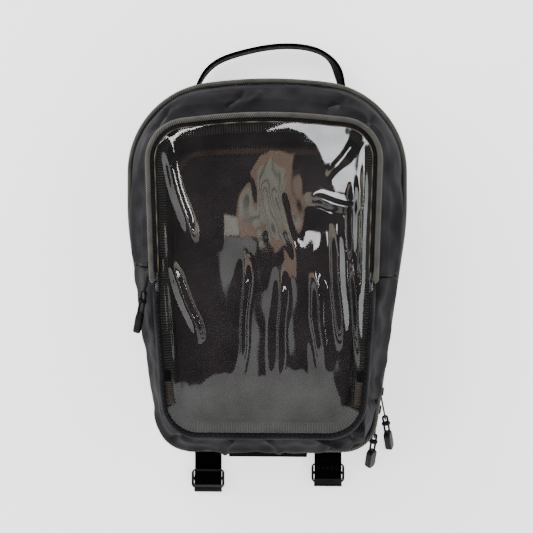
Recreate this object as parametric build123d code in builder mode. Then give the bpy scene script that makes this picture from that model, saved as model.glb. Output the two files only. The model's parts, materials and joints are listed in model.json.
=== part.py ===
"""Motorcycle tank bag: a soft case with a clear map pocket, modelled as its separate pieces.

The bag lies on its base. X runs across it, Y runs from its strap end to its handle end, and
Z points up, out of the window. The origin is on the underside of the base. All sizes are in mm.
"""

from build123d import *

import os
from math import cos, radians, sin

os.makedirs("parts", exist_ok=True)

# Plan outlines. Each holds the corners of the right half, from the strap end round to the
# middle of the handle end, as (x, y, fillet radius). The left half mirrors it.
BODY_PLAN = [(93.8, -164.5, 30), (123.6, 38, 250), (123.4, 153, 80), (0, 168.2, 400)]
WINDOW_PLAN = [(81, -142, 30), (89.3, -40, 300), (94.6, 114.5, 30), (0, 124.5, 450)]
PAD_PLAN = [(69, -130, 26), (75.5, -40, 300), (79, 98, 26), (0, 103, 500)]

# Heights above the surface that the bag lies on.
GRIP_TOP = 1.2
SKIN_TOP = 2.6
FOAM_TOP = 8.6
BOARD_TOP = 10.2
BASE_LINING_TOP = 11.0
MAIN_ZIP_Z = 24.0
OUTER_PIPING_Z = 34.0
CREASE_Z = 80.0
DECK_TOP = 81.4
POCKET_ZIP_Z = 87.0
FRAME_TOP = 95.6
FILM_Z = 96.2
FILM_TOP = 97.0

# Walls and sheets.
WALL = 2.2
GUSSET_WALL = 3.0
LINING = 0.6
BOX_WALL = 1.5
FILM_WALL = 1.0
PIPING_R = 2.5
POCKET_PIPING_R = 2.4
FLANGE_HALF = 0.3
RUNNING_GAP = 0.3
PAD_THICK = 2.4
BAND_WIDTH = 9.0
BAND_THICK = 1.0
HEM_THICK = 1.8
HEM_HEIGHT = 3.0
HINGE_STRIP_RISE = 4.0
# How far the gusset has moved in from the body plan to the window plan, by height.
GUSSET_SECTIONS = [(OUTER_PIPING_Z + FLANGE_HALF, 0), (52, 0.2), (68, 0.52), (76, 0.8), (CREASE_Z, 1)]

# The side seams run across the bag a little askew, and the pocket cover folds beside them.
SEAM_Y = -4.0
SEAM_SKEW = 2.6
COVER_FOLD_Y = -12.0
MAIN_ZIP_END_Y = -141.0

# Zip chain, measured from its middle.
SLOT_HALF = 0.7
COIL_WIDTH = 2.1
COIL_THICK = 1.6
TAPE_WIDTH = 3.8
TAPE_THICK = 0.8
WALL_EDGE = 2.1

# Sliders and pulls.
SLIDER_LENGTH = 13.0
SLIDER_WIDTH = 8.2
SLIDER_REAR_WIDTH = 7.0
SLIDER_PLATE = 1.6
SLIDER_GAP = 0.4
POST_WIDTH = 1.0
BRIDGE_LENGTH = 8.5
BRIDGE_WIDTH = 2.6
BRIDGE_RISE = 5.2
BRIDGE_BAR = 1.5
POST_LENGTH = 3.0
SLIDER_CORNER = 1.6
CROWN_ROUND = 2.0
PIVOT_RISE = 1.9
PIVOT_R = 0.8
TAB_LENGTH = 27.0
TAB_ROOT_WIDTH = 6.4
TAB_END_WIDTH = 8.0
TAB_THICK = 1.4
TAB_SLOT_END = 6.4
TAB_SLOT_START = -2.0
TAB_WAIST = 14.4
TAB_TIP = 4.0
TAB_ROUND = 2.0
TAB_PLAY = 0.5
TAB_HOLE_AT = 23.5
TAB_HOLE_R = 1.8
CORD_R = 1.0
CORD_SPREAD = 1.95
CORD_TURN = 1.7
CORD_IN_TOGGLE = 4.0
TOGGLE_LENGTH = 20.0
TOGGLE_WIDTH = 9.4
TOGGLE_THICK = 6.2
TOGGLE_END = 4.2
TOGGLE_ROUND = 1.6

# Straps, buckles and handle.
STRAP_X = 54.5
STRAP_WIDTH = 24.5
WEBBING = 1.8
STRAP_HINGE = (-162.6, 6.0)
STRAP_BEND_Y = -174.0
STRAP_PATCH_HEIGHT = 7.0
STRAP_PATCH_Z = 6.2
BUCKLE_BAR_Z = 4.6
LEFT_BAR_Y = -194.0
RIGHT_BAR_Y = -188.0
BUCKLE_WIDTH = 30.0
BUCKLE_OPENING = 25.6
BUCKLE_HALF_LENGTH = 8.6
BUCKLE_RAIL = 1.8
BUCKLE_CORNER = 4.0
BUCKLE_THICK = 2.6
LIP_LENGTH = 3.4
LIP_RISE = 1.4
LIP_THICK = 2.0
LIP_WIDTH = 25.2
TONGUE_RISE = 2.2
TONGUE_CLEARANCE = 0.5
BAR_R = 1.4
LOOP_HOLE_R = 1.75
LOOP_R = 3.4
HANDLE_ROUTE = [(-66, 157.3), (-56, 184), (12, 201), (62, 193), (68, 157.3)]
HANDLE_RADII = [26, 120, 24]
HANDLE_WIDTH = 19.0
HANDLE_THICK = 2.2
HANDLE_ROOT_WIDTH = 2.8
HANDLE_TAPER = 20.0
HANDLE_Z = 11.0
PATCH_WIDTH = 15.0
PATCH_HEIGHT = 12.0
PATCH_THICK = 1.6
FLAP_HALF_WIDTH = 38.0
FLAP_END_Y = -174.5
FLAP_SLOPES = (2.0, 4.0)

# Small fabric sleeves in the lower corners of the window.
SLEEVE_LENGTH = 28.0
SLEEVE_R = 3.5
SLEEVE_BORE_R = 2.7
SLEEVE_START = 22.0
SLEEVE_BELOW_FILM = 4.2


def full_plan(half):
    """Both halves of an outline's corners, anticlockwise."""
    return half + [(-x, y, r) for x, y, r in reversed(half) if x > 0]


def grown(corners, amount):
    """The outline moved outward by amount, with each fillet about the same centre."""
    moved = []
    for i, (x, y, r) in enumerate(corners):
        x_before, y_before, _ = corners[i - 1]
        x_after, y_after, _ = corners[(i + 1) % len(corners)]
        into = Vector(x - x_before, y - y_before).normalized()
        out_of = Vector(x_after - x, y_after - y).normalized()
        normal_in, normal_out = Vector(into.Y, -into.X), Vector(out_of.Y, -out_of.X)
        shift = (normal_in + normal_out) * (amount / (1 + normal_in.dot(normal_out)))
        moved.append((x + shift.X, y + shift.Y, r + amount))
    return moved


def between(low, high, share):
    """The outline that is share of the way from low to high."""
    return [tuple(a + (b - a) * share for a, b in zip(p, q)) for p, q in zip(low, high)]


def outline(corners):
    """The edges of the closed outline, with its corners filleted."""
    with BuildLine() as line:
        FilletPolyline(*[(x, y) for x, y, _ in corners], radius=[r for *_, r in corners], close=True)
    return line.edges()


BODY = full_plan(BODY_PLAN)
WALL_PLAN = grown(BODY, -2 * PIPING_R)
BOX = full_plan(WINDOW_PLAN)
CREASE = grown(BOX, 2.0)
PAD = full_plan(PAD_PLAN)
SEAM_PLANE = Plane(origin=(0, SEAM_Y, 0), x_dir=(cos(radians(SEAM_SKEW)), -sin(radians(SEAM_SKEW)), 0),
                   z_dir=(sin(radians(SEAM_SKEW)), cos(radians(SEAM_SKEW)), 0))
FOLD_PLANE = Plane(origin=(0, COVER_FOLD_Y, 0), x_dir=(1, 0, 0), z_dir=(0, 1, 0))
UPPER_FOLD_PLANE = FOLD_PLANE.offset(RUNNING_GAP)
ZIP_END_PLANE = Plane(origin=(0, MAIN_ZIP_END_Y, 0), x_dir=(1, 0, 0), z_dir=(0, 1, 0))


def save(part, name):
    """Labels a finished piece and writes it under its own name."""
    part.label = name
    export_step(part, f"parts/{name}.step")


def plate(corners, z_low, z_high):
    """A flat sheet with the given outline."""
    with BuildPart() as sheet:
        with BuildSketch(Plane.XY.offset(z_low)):
            make_face(outline(corners))
        extrude(amount=z_high - z_low)
    return sheet.part


def ring(corners, outside, inside, z_low, z_high, cut=None, keep=Keep.TOP):
    """A wall that follows an outline, between two distances from it, cut at a plane if one is given."""
    with BuildPart() as wall:
        with BuildSketch(Plane.XY.offset(z_low)):
            make_face(outline(grown(corners, outside)))
            make_face(outline(grown(corners, inside)), mode=Mode.SUBTRACT)
        extrude(amount=z_high - z_low)
        if cut:
            split(bisect_by=cut, keep=keep)
    return wall.part


def piping(corners, cord_r, z, flange_depth, cut=None):
    """A round cord outside a wall, with the flat flange by which it is sewn into the seam."""
    with BuildPart() as trim:
        with BuildLine():
            path = FilletPolyline(
                *[(x, y, z) for x, y, _ in grown(corners, cord_r)],
                radius=[r for *_, r in grown(corners, cord_r)], close=True)
        with BuildSketch(Plane(origin=path @ 0, z_dir=path % 0)):
            Circle(cord_r)
        sweep()
        with BuildSketch(Plane.XY.offset(z - FLANGE_HALF)):
            make_face(outline(grown(corners, cord_r / 2)))
            make_face(outline(grown(corners, -flange_depth)), mode=Mode.SUBTRACT)
        extrude(amount=2 * FLANGE_HALF)
        if cut:
            split(bisect_by=cut, keep=Keep.TOP)
    return trim.part


def leaning_block(depth):
    """The solid that leans in from the body's wall to the window box, at a depth inside its surface."""
    with BuildPart() as block:
        for z, share in GUSSET_SECTIONS:
            with BuildSketch(Plane.XY.offset(z)):
                make_face(outline(grown(between(WALL_PLAN, CREASE, share), -depth)))
        loft(ruled=True)
    return block.part


def gusset(depth_out, depth_in, cut=None, keep=Keep.TOP):
    """The leaning shell between two depths, cut at a plane if one is given."""
    with BuildPart() as shell:
        add(leaning_block(depth_out))
        add(leaning_block(depth_in), mode=Mode.SUBTRACT)
        if cut:
            split(bisect_by=cut, keep=keep)
    return shell.part


def zip_half(corners, wall, z, side, cut):
    """The tape and the coil of one half of a zip, below its slot (side -1) or above it (side 1)."""
    z_slot = z + side * SLOT_HALF
    tape, coil = (wall, TAPE_THICK, TAPE_WIDTH), (wall + TAPE_THICK, COIL_THICK, COIL_WIDTH)
    halves = []
    for outside, thick, width in (tape, coil):
        z_low, z_high = sorted((z_slot, z_slot + side * width))
        halves.append(ring(corners, -outside, -outside - thick, z_low, z_high, cut))
    return halves


def track_plane(lower, upper, y, z):
    """The plane on a straight stretch of wall at y, with x along it towards the straps and z outward."""
    along = Vector(lower[0] - upper[0], lower[1] - upper[1]).normalized()
    x = lower[0] + (y - lower[1]) * along.X / along.Y
    outward = Vector(-along.Y, along.X) if x > 0 else Vector(along.Y, -along.X)
    return Plane(origin=(x, y, z), x_dir=along, z_dir=outward)


def turned(plane, origin, angle):
    """The plane moved to origin and turned about its own y, so that its x swings outward."""
    x_dir = plane.x_dir * cos(radians(angle)) + plane.z_dir * sin(radians(angle))
    return Plane(origin=origin, x_dir=x_dir, z_dir=x_dir.cross(plane.y_dir))


def make_slider(track, depth):
    """A slider: an outer plate, an inner plate, the post that joins them through the slot, and the bridge."""
    outer_low, inner_high = SLIDER_GAP, -depth - SLIDER_GAP
    half, rear, front = SLIDER_LENGTH / 2, SLIDER_REAR_WIDTH / 2, SLIDER_WIDTH / 2
    plan = [(-half, -rear), (half, -front), (half, front), (-half, rear)]
    with BuildPart() as slider:
        for level, thick in ((outer_low, SLIDER_PLATE), (inner_high, -SLIDER_PLATE)):
            with BuildSketch(track.offset(level)):
                with BuildLine():
                    FilletPolyline(*plan, radius=SLIDER_CORNER, close=True)
                make_face()
            extrude(amount=thick)
        with BuildSketch(track.offset(inner_high)):
            with Locations((half - POST_LENGTH, 0)):
                Rectangle(POST_LENGTH, POST_WIDTH)
        extrude(amount=outer_low - inner_high)
        bridge_plane = Plane(origin=track.origin, x_dir=track.x_dir, z_dir=-track.y_dir)
        foot = outer_low + SLIDER_PLATE
        sunk = 0.2
        with BuildSketch(bridge_plane):
            with Locations((0, foot + (BRIDGE_RISE - sunk) / 2)):
                Rectangle(BRIDGE_LENGTH, BRIDGE_RISE + sunk)
            with Locations((0, foot + (BRIDGE_RISE - BRIDGE_BAR) / 2)):
                Rectangle(BRIDGE_LENGTH - 2 * BRIDGE_BAR, BRIDGE_RISE - BRIDGE_BAR, mode=Mode.SUBTRACT)
        extrude(amount=BRIDGE_WIDTH / 2, both=True)
        crown = slider.edges().filter_by(lambda e: abs(e.tangent_at(0.5).dot(track.y_dir)) > 0.99)
        fillet(crown.sort_by(lambda e: (e.center() - track.origin).dot(track.z_dir))[-2:], CROWN_ROUND)
    return slider.part


def make_tab(grip):
    """A pull tab: a cross bar under the bridge, two arms beside it, and a plate with a hole."""
    arm_inside = BRIDGE_WIDTH / 2 + TAB_PLAY
    arm_outside = TAB_ROOT_WIDTH / 2
    shoulder = TAB_LENGTH - TAB_TIP
    half_plan = [(0, arm_outside), (TAB_WAIST, arm_outside), (shoulder, TAB_END_WIDTH / 2)]
    plan = [(x, -y) for x, y in half_plan] + [(TAB_LENGTH, 0)] + half_plan[::-1]
    with BuildPart() as tab:
        with BuildSketch(Plane(origin=grip.origin, x_dir=grip.x_dir, z_dir=grip.y_dir)):
            Circle(PIVOT_R)
        extrude(amount=arm_outside, both=True)
        with BuildSketch(grip.offset(-TAB_THICK / 2)):
            with BuildLine():
                Polyline(*plan, close=True)
            make_face()
            with Locations(((TAB_SLOT_START + TAB_SLOT_END) / 2, 0)):
                Rectangle(TAB_SLOT_END - TAB_SLOT_START, 2 * arm_inside, mode=Mode.SUBTRACT)
            fillet(vertices().sort_by(Axis.X)[-3:], TAB_ROUND)
            with Locations((TAB_HOLE_AT, 0)):
                Circle(TAB_HOLE_R, mode=Mode.SUBTRACT)
        extrude(amount=TAB_THICK)
    return tab.part


def make_cord(hang, ends_at):
    """A cord folded through the tab's hole, with both strands running to the toggle."""
    with BuildPart() as cord:
        with BuildLine(Plane(origin=hang.origin, x_dir=hang.x_dir, z_dir=-hang.y_dir)):
            path = FilletPolyline((ends_at, -CORD_SPREAD), (0, -CORD_SPREAD), (0, CORD_SPREAD),
                                  (ends_at, CORD_SPREAD), radius=CORD_TURN)
        with BuildSketch(Plane(origin=path @ 0, z_dir=path % 0)):
            Circle(CORD_R)
        sweep()
    return cord.part


def make_toggle(hang, reach, roll, cord):
    """A flat moulded grip at the cord's reach, turned by roll and bored for the cord's two strands."""
    side = hang.y_dir * cos(radians(roll)) + hang.z_dir * sin(radians(roll))
    middle = hang.origin + hang.x_dir * (reach + TOGGLE_LENGTH / 2)
    flat = Plane(origin=middle, x_dir=hang.x_dir, z_dir=hang.x_dir.cross(side))
    with BuildPart() as toggle:
        with BuildSketch(flat):
            RectangleRounded(TOGGLE_LENGTH, TOGGLE_WIDTH, TOGGLE_END)
        extrude(amount=TOGGLE_THICK / 2, both=True)
        fillet(toggle.edges().group_by(SortBy.LENGTH)[-1], TOGGLE_ROUND)
        add(cord, mode=Mode.SUBTRACT)
    return toggle.part


def make_pull(name, track, depth, swing, drop, reach, roll):
    """One slider with its tab, cord and toggle, each a piece of its own."""
    pivot = track.origin + track.z_dir * (SLIDER_GAP + SLIDER_PLATE + PIVOT_RISE)
    grip = turned(track, pivot, swing)
    down = Vector(0, 0, -1)
    hang_x = grip.x_dir * cos(radians(drop)) + down * sin(radians(drop))
    hang = Plane(origin=grip.origin + grip.x_dir * TAB_HOLE_AT, x_dir=hang_x, z_dir=grip.z_dir)
    cord = make_cord(hang, reach + CORD_IN_TOGGLE)
    save(make_slider(track, depth), f"{name}_slider")
    save(make_tab(grip), f"{name}_pull_tab")
    save(cord, f"{name}_pull_cord")
    save(make_toggle(hang, reach, roll, cord), f"{name}_pull_toggle")


def wall_patch(x):
    """A patch sewn flat on the outside of the handle end's wall."""
    with BuildPart() as patch:
        with BuildSketch(Plane.XY.offset(HANDLE_Z - PATCH_HEIGHT / 2)):
            make_face(outline(grown(WALL_PLAN, PATCH_THICK)))
            make_face(outline(WALL_PLAN), mode=Mode.SUBTRACT)
            with Locations((x, HANDLE_ROUTE[0][1])):
                Rectangle(PATCH_WIDTH, 2 * PATCH_WIDTH, mode=Mode.INTERSECT)
        extrude(amount=PATCH_HEIGHT)
    return patch.part


def make_strap(x, bar_y, over):
    """A strap looped round the buckle's bar. over is 1 if it passes above the buckle's top bar, or -1."""
    run_z = BUCKLE_BAR_Z + over * (LOOP_R - WEBBING / 2)
    bend_z = run_z + over + 0.6
    with BuildPart() as strap:
        with BuildSketch(Plane.YZ.offset(x)):
            with BuildLine():
                Polyline(STRAP_HINGE, (STRAP_BEND_Y, bend_z), (bar_y, run_z))
            trace(line_width=WEBBING)
            with Locations((bar_y, BUCKLE_BAR_Z)):
                Circle(LOOP_R)
                Circle(LOOP_HOLE_R, mode=Mode.SUBTRACT)
        extrude(amount=STRAP_WIDTH / 2, both=True)
    return strap.part


def make_buckle(x, bar_y, over):
    """A ladder-lock buckle: a frame with a bar for the sewn loop, a slot for a second strap and a lip.

    A tongue stands over the slot, and the second strap runs under it.
    """
    bar_z = BUCKLE_BAR_Z
    bottom_y = bar_y - BUCKLE_HALF_LENGTH
    opening = BUCKLE_HALF_LENGTH - BUCKLE_RAIL
    with BuildPart() as buckle:
        with BuildSketch(Plane.XY.offset(bar_z - BUCKLE_THICK / 2)):
            with Locations((x, bar_y)):
                RectangleRounded(BUCKLE_WIDTH, 2 * BUCKLE_HALF_LENGTH, BUCKLE_CORNER)
            with Locations((x, bar_y + opening / 2), (x, bar_y - opening / 2)):
                Rectangle(BUCKLE_OPENING, opening, mode=Mode.SUBTRACT)
        extrude(amount=BUCKLE_THICK)
        with BuildSketch(Plane.YZ.offset(x)):
            with Locations((bar_y, bar_z)):
                Circle(BAR_R)
        extrude(amount=BUCKLE_OPENING / 2 + 1, both=True)
        with BuildSketch(Plane.YZ.offset(x)):
            with BuildLine():
                Polyline((bottom_y + 1.5, bar_z), (bottom_y - 1.5, bar_z + 0.4 * over),
                         (bottom_y - LIP_LENGTH, bar_z + LIP_RISE * over))
            trace(line_width=LIP_THICK)
            with BuildLine():
                Line((bottom_y + BUCKLE_RAIL / 2, bar_z),
                     (bar_y - LOOP_R - TONGUE_CLEARANCE - LIP_THICK / 2, bar_z + TONGUE_RISE))
            trace(line_width=LIP_THICK)
        extrude(amount=LIP_WIDTH / 2, both=True)
    return buckle.part


# Base: the part of the bag that lies on the tank.
save(plate(grown(WALL_PLAN, -7), 0, GRIP_TOP), "base_grip_sheet")
save(plate(grown(WALL_PLAN, -1), GRIP_TOP, SKIN_TOP), "base_skin")
save(plate(grown(WALL_PLAN, -WALL), SKIN_TOP, FOAM_TOP), "base_foam")
save(plate(grown(WALL_PLAN, -5), FOAM_TOP, BOARD_TOP), "base_stiffener_board")
save(plate(grown(WALL_PLAN, -WALL), BOARD_TOP, BASE_LINING_TOP), "base_lining")
save(ring(WALL_PLAN, 0, -WALL, SKIN_TOP, MAIN_ZIP_Z - WALL_EDGE), "base_gusset")
save(ring(WALL_PLAN, -WALL - RUNNING_GAP, -WALL - RUNNING_GAP - TAPE_THICK, BASE_LINING_TOP,
          MAIN_ZIP_Z + HINGE_STRIP_RISE,
          ZIP_END_PLANE, Keep.BOTTOM), "hinge_strip")
lower_tape, lower_coil = zip_half(WALL_PLAN, WALL, MAIN_ZIP_Z, -1, ZIP_END_PLANE)
save(lower_tape, "main_zip_tape_lower")
save(lower_coil, "main_zip_coil_lower")

with BuildPart() as base_flap:
    flap_root_y = grown(WALL_PLAN, -1)[0][1]
    slope_left, slope_right = FLAP_SLOPES
    with BuildSketch(Plane.XY.offset(GRIP_TOP)):
        with BuildLine():
            Polyline((-FLAP_HALF_WIDTH, flap_root_y), (slope_left - FLAP_HALF_WIDTH, FLAP_END_Y),
                     (FLAP_HALF_WIDTH - slope_right, FLAP_END_Y), (FLAP_HALF_WIDTH, flap_root_y), close=True)
        make_face()
    extrude(amount=SKIN_TOP - GRIP_TOP)
save(base_flap.part, "base_flap")

# Lid: everything above the main zip, up to the deck under the window.
save(ring(WALL_PLAN, 0, -WALL, MAIN_ZIP_Z + WALL_EDGE, OUTER_PIPING_Z - FLANGE_HALF), "lid_rim")
upper_tape, upper_coil = zip_half(WALL_PLAN, WALL, MAIN_ZIP_Z, 1, ZIP_END_PLANE)
save(upper_tape, "main_zip_tape_upper")
save(upper_coil, "main_zip_coil_upper")
save(piping(WALL_PLAN, PIPING_R, OUTER_PIPING_Z, WALL), "outer_piping")
save(gusset(0, GUSSET_WALL, SEAM_PLANE, Keep.TOP), "gusset_upper")
save(gusset(0, GUSSET_WALL, SEAM_PLANE, Keep.BOTTOM), "gusset_lower")
save(gusset(GUSSET_WALL, GUSSET_WALL + LINING), "lid_lining")
save(plate(CREASE, CREASE_Z, DECK_TOP), "pocket_back_panel")
save(plate(PAD, DECK_TOP, DECK_TOP + PAD_THICK), "panel_pad")
save(ring(BOX, -BOX_WALL, -BOX_WALL - BAND_WIDTH, DECK_TOP, DECK_TOP + BAND_THICK), "retaining_band")
save(ring(BOX, 0, -BOX_WALL, DECK_TOP, POCKET_ZIP_Z - WALL_EDGE, UPPER_FOLD_PLANE), "pocket_wall_lower")
lower_tape, lower_coil = zip_half(BOX, BOX_WALL, POCKET_ZIP_Z, -1, UPPER_FOLD_PLANE)
save(lower_tape, "pocket_zip_tape_lower")
save(lower_coil, "pocket_zip_coil_lower")
save(ring(BOX, HEM_THICK, 0, DECK_TOP, DECK_TOP + HEM_HEIGHT, FOLD_PLANE, Keep.BOTTOM), "window_hem")

with BuildPart() as window_film_lower:
    with BuildSketch(Plane.XY.offset(DECK_TOP)):
        make_face(outline(BOX))
    extrude(amount=FILM_TOP - DECK_TOP)
    with BuildSketch(Plane.XY.offset(DECK_TOP)):
        make_face(outline(grown(BOX, -FILM_WALL)))
    extrude(amount=FILM_Z - DECK_TOP, mode=Mode.SUBTRACT)
    split(bisect_by=FOLD_PLANE, keep=Keep.BOTTOM)
save(window_film_lower.part, "window_film_lower")

sleeve_line = grown(BOX, -FILM_WALL - SLEEVE_R - 0.1)
lower_corner, side_corner = (Vector(x, y) for x, y, _ in sleeve_line[:2])
up_side = (side_corner - lower_corner).normalized()
mouth_line = lower_corner + up_side * SLEEVE_START
for side, name in ((-1, "left"), (1, "right")):
    along = Plane(origin=(side * mouth_line.X, mouth_line.Y, FILM_Z - SLEEVE_BELOW_FILM),
                  z_dir=(side * up_side.X, up_side.Y, 0))
    with BuildPart() as sleeve:
        with BuildSketch(along):
            Circle(SLEEVE_R)
            Circle(SLEEVE_BORE_R, mode=Mode.SUBTRACT)
        extrude(amount=SLEEVE_LENGTH)
    save(sleeve.part, f"gusset_sleeve_{name}")

# Pocket cover: the zipped upper half of the window.
save(ring(BOX, 0, -BOX_WALL, POCKET_ZIP_Z + WALL_EDGE, FRAME_TOP, UPPER_FOLD_PLANE), "pocket_frame")
upper_tape, upper_coil = zip_half(BOX, BOX_WALL, POCKET_ZIP_Z, 1, UPPER_FOLD_PLANE)
save(upper_tape, "pocket_zip_tape_upper")
save(upper_coil, "pocket_zip_coil_upper")
save(piping(BOX, POCKET_PIPING_R, FRAME_TOP + FLANGE_HALF, BOX_WALL, UPPER_FOLD_PLANE), "pocket_piping")

with BuildPart() as window_film_upper:
    with BuildSketch(Plane.XY.offset(FILM_Z)):
        make_face(outline(BOX))
    extrude(amount=FILM_TOP - FILM_Z)
    split(bisect_by=UPPER_FOLD_PLANE, keep=Keep.TOP)
save(window_film_upper.part, "window_film_upper")

# Zip pulls. The main zip closes at two sliders near its right end, the pocket zip at its left end.
right_track = (WALL_PLAN[0], WALL_PLAN[1])
left_track = (BOX[-2], BOX[-3])
main_depth = WALL + TAPE_THICK + COIL_THICK
pocket_depth = BOX_WALL + TAPE_THICK + COIL_THICK
make_pull("main_end", track_plane(*right_track, -127, MAIN_ZIP_Z), main_depth, 2, 32, 17, 40)
make_pull("main_top", track_plane(*right_track, -111, MAIN_ZIP_Z), main_depth, 19, 32, 17, 25)
make_pull("pocket", track_plane(*left_track, 0, POCKET_ZIP_Z), pocket_depth, 17, 30, 21, 0)

# Straps and buckles, with the sewn patches that hold them.
for side, bar_y, name in ((-1, LEFT_BAR_Y, "left"), (1, RIGHT_BAR_Y, "right")):
    save(make_strap(side * STRAP_X, bar_y, side), f"strap_{name}")
    save(make_buckle(side * STRAP_X, bar_y, side), f"buckle_{name}")

with BuildPart() as strap_patches:
    with Locations(*[(side * STRAP_X, WALL_PLAN[0][1], STRAP_PATCH_Z) for side in (-1, 1)]):
        Box(STRAP_WIDTH, WEBBING, STRAP_PATCH_HEIGHT, align=(Align.CENTER, Align.MAX, Align.CENTER))
save(strap_patches.part, "strap_patches")

# Handle: webbing on edge, narrowed where it meets the patches that hold it to the wall.
with BuildPart() as handle_patches:
    for x in (HANDLE_ROUTE[0][0], HANDLE_ROUTE[-1][0]):
        add(wall_patch(x))
save(handle_patches.part, "handle_patches")

with BuildPart() as handle:
    with BuildSketch(Plane.XY.offset(HANDLE_Z - HANDLE_WIDTH / 2)):
        with BuildLine():
            FilletPolyline(*HANDLE_ROUTE, radius=HANDLE_RADII)
        trace(line_width=HANDLE_THICK)
    extrude(amount=HANDLE_WIDTH)
    root_y, top_y = HANDLE_ROUTE[0][1], HANDLE_ROUTE[2][1] + HANDLE_THICK
    with BuildSketch(Plane.YZ):
        with BuildLine():
            edge = Polyline((root_y - HANDLE_THICK, HANDLE_Z + HANDLE_ROOT_WIDTH / 2),
                            (root_y + HANDLE_TAPER, HANDLE_Z + HANDLE_WIDTH / 2),
                            (top_y, HANDLE_Z + HANDLE_WIDTH / 2))
            mirror(edge, about=Plane.XZ.offset(-HANDLE_Z))
            Line(edge @ 0, (root_y - HANDLE_THICK, HANDLE_Z - HANDLE_ROOT_WIDTH / 2))
            Line(edge @ 1, (top_y, HANDLE_Z - HANDLE_WIDTH / 2))
        make_face()
    extrude(amount=BODY_PLAN[1][0], both=True, mode=Mode.INTERSECT)
save(handle.part, "handle")
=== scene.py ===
"""The looks of the motorcycle tank bag: soft fabric, clear film, webbing and zips over the CAD frame.

Lengths are in metres. Outlines and heights are read from the CAD nodes, which stay where they are.
"""

import json
from math import atan2, cos, pi, radians, sin

import bpy
import numpy as np
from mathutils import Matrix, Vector, noise
from mathutils.bvhtree import BVHTree

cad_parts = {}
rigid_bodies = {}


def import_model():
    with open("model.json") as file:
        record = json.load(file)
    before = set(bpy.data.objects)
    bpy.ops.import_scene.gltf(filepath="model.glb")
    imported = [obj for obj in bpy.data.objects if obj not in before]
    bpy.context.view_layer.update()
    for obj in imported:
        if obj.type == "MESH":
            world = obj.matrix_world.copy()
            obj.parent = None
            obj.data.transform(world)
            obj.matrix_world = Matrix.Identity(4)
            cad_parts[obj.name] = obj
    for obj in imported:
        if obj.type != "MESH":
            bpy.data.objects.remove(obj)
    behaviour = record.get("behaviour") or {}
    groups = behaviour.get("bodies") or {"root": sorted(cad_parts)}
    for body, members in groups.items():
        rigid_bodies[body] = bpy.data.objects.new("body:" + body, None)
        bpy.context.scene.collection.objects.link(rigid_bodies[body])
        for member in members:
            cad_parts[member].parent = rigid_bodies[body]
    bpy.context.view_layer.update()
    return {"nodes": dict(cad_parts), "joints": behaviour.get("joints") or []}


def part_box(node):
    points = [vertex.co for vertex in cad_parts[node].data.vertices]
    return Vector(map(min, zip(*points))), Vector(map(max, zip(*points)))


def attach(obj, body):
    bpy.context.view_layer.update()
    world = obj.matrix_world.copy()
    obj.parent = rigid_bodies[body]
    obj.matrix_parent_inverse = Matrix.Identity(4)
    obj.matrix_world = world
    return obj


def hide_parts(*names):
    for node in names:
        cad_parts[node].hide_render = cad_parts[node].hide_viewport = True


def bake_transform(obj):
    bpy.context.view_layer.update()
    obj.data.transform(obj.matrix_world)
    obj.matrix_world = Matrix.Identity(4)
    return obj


bpy.data.batch_remove([*bpy.data.objects])
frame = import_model()

MM = 0.001
NODES = frame["nodes"]
JOINTS = {joint["name"]: joint for joint in frame["joints"]}
UP = np.array([0, 0, 1.0])


# Shapes read from the frame ------------------------------


def low(node):
    """The lowest corner of a CAD node's box."""
    return np.array(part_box(node)[0])


def high(node):
    """The highest corner of a CAD node's box."""
    return np.array(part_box(node)[1])


def lengths(vectors):
    """The length of each vector, in a column."""
    return np.linalg.norm(vectors, axis=1)[:, None]


def resample(points, count, closed=False):
    """The same line with count evenly spaced points."""
    line = np.vstack([points, points[:1]]) if closed else np.asarray(points)
    reached = np.r_[0, np.cumsum(np.linalg.norm(np.diff(line, axis=0), axis=1))]
    at = np.linspace(0, reached[-1], count, endpoint=not closed)
    return np.column_stack([np.interp(at, reached, line[:, k]) for k in range(line.shape[1])])


def middle_z(node):
    """The middle height of a CAD node."""
    return (low(node)[2] + high(node)[2]) / 2


def search_tree(nodes):
    """A tree that finds where a line meets CAD nodes."""
    vertices, faces = [], []
    for name in nodes:
        mesh = NODES[name].data
        faces += [[v + len(vertices) for v in face.vertices] for face in mesh.polygons]
        vertices += [v.co.copy() for v in mesh.vertices]
    return BVHTree.FromPolygons(vertices, faces)


def section(nodes, z, count=None):
    """The outline of CAD nodes at a height, anticlockwise from the middle of the strap end."""
    tree = search_tree(nodes)
    reach = 0.4
    loop = []
    for turn in np.linspace(-pi / 2, 3 * pi / 2, 1440, endpoint=False):
        way = Vector((cos(turn), sin(turn), 0))
        hit = tree.ray_cast(way * reach + Vector((0, 0, z)), -way, reach)[0]
        if hit:
            loop.append(hit[:2])
    return resample(np.array(loop), count, closed=True) if count else np.array(loop)


def stretch(nodes, z, count):
    """The open outline of CAD nodes that go only part of the way round the bag."""
    loop = section(nodes, z)
    gaps = lengths(loop - np.roll(loop, 1, 0))
    return resample(np.roll(loop, -int(gaps.argmax()), 0), count)


def direction(line, closed):
    """The way a line runs at each of its points."""
    return np.roll(line, -1, 0) - np.roll(line, 1, 0) if closed else np.gradient(line, axis=0)


def offset(loop, distance, closed=True):
    """The line moved outward, to its right, by a distance."""
    along = direction(loop, closed)
    out = np.column_stack([along[:, 1], -along[:, 0]])
    return loop + distance * out / lengths(out)


def arc_beyond(loop, keep, count):
    """The one stretch of a closed outline where keep(x, y) is true."""
    kept = np.array([keep(x, y) for x, y in loop])
    start = int(np.argmax(kept & ~np.roll(kept, 1)))
    return resample(np.roll(loop, -start, 0)[np.roll(kept, -start)], count)


def at_height(loop, z):
    """Flat points lifted to a height."""
    return np.column_stack([loop, np.full(len(loop), z)])


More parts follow.
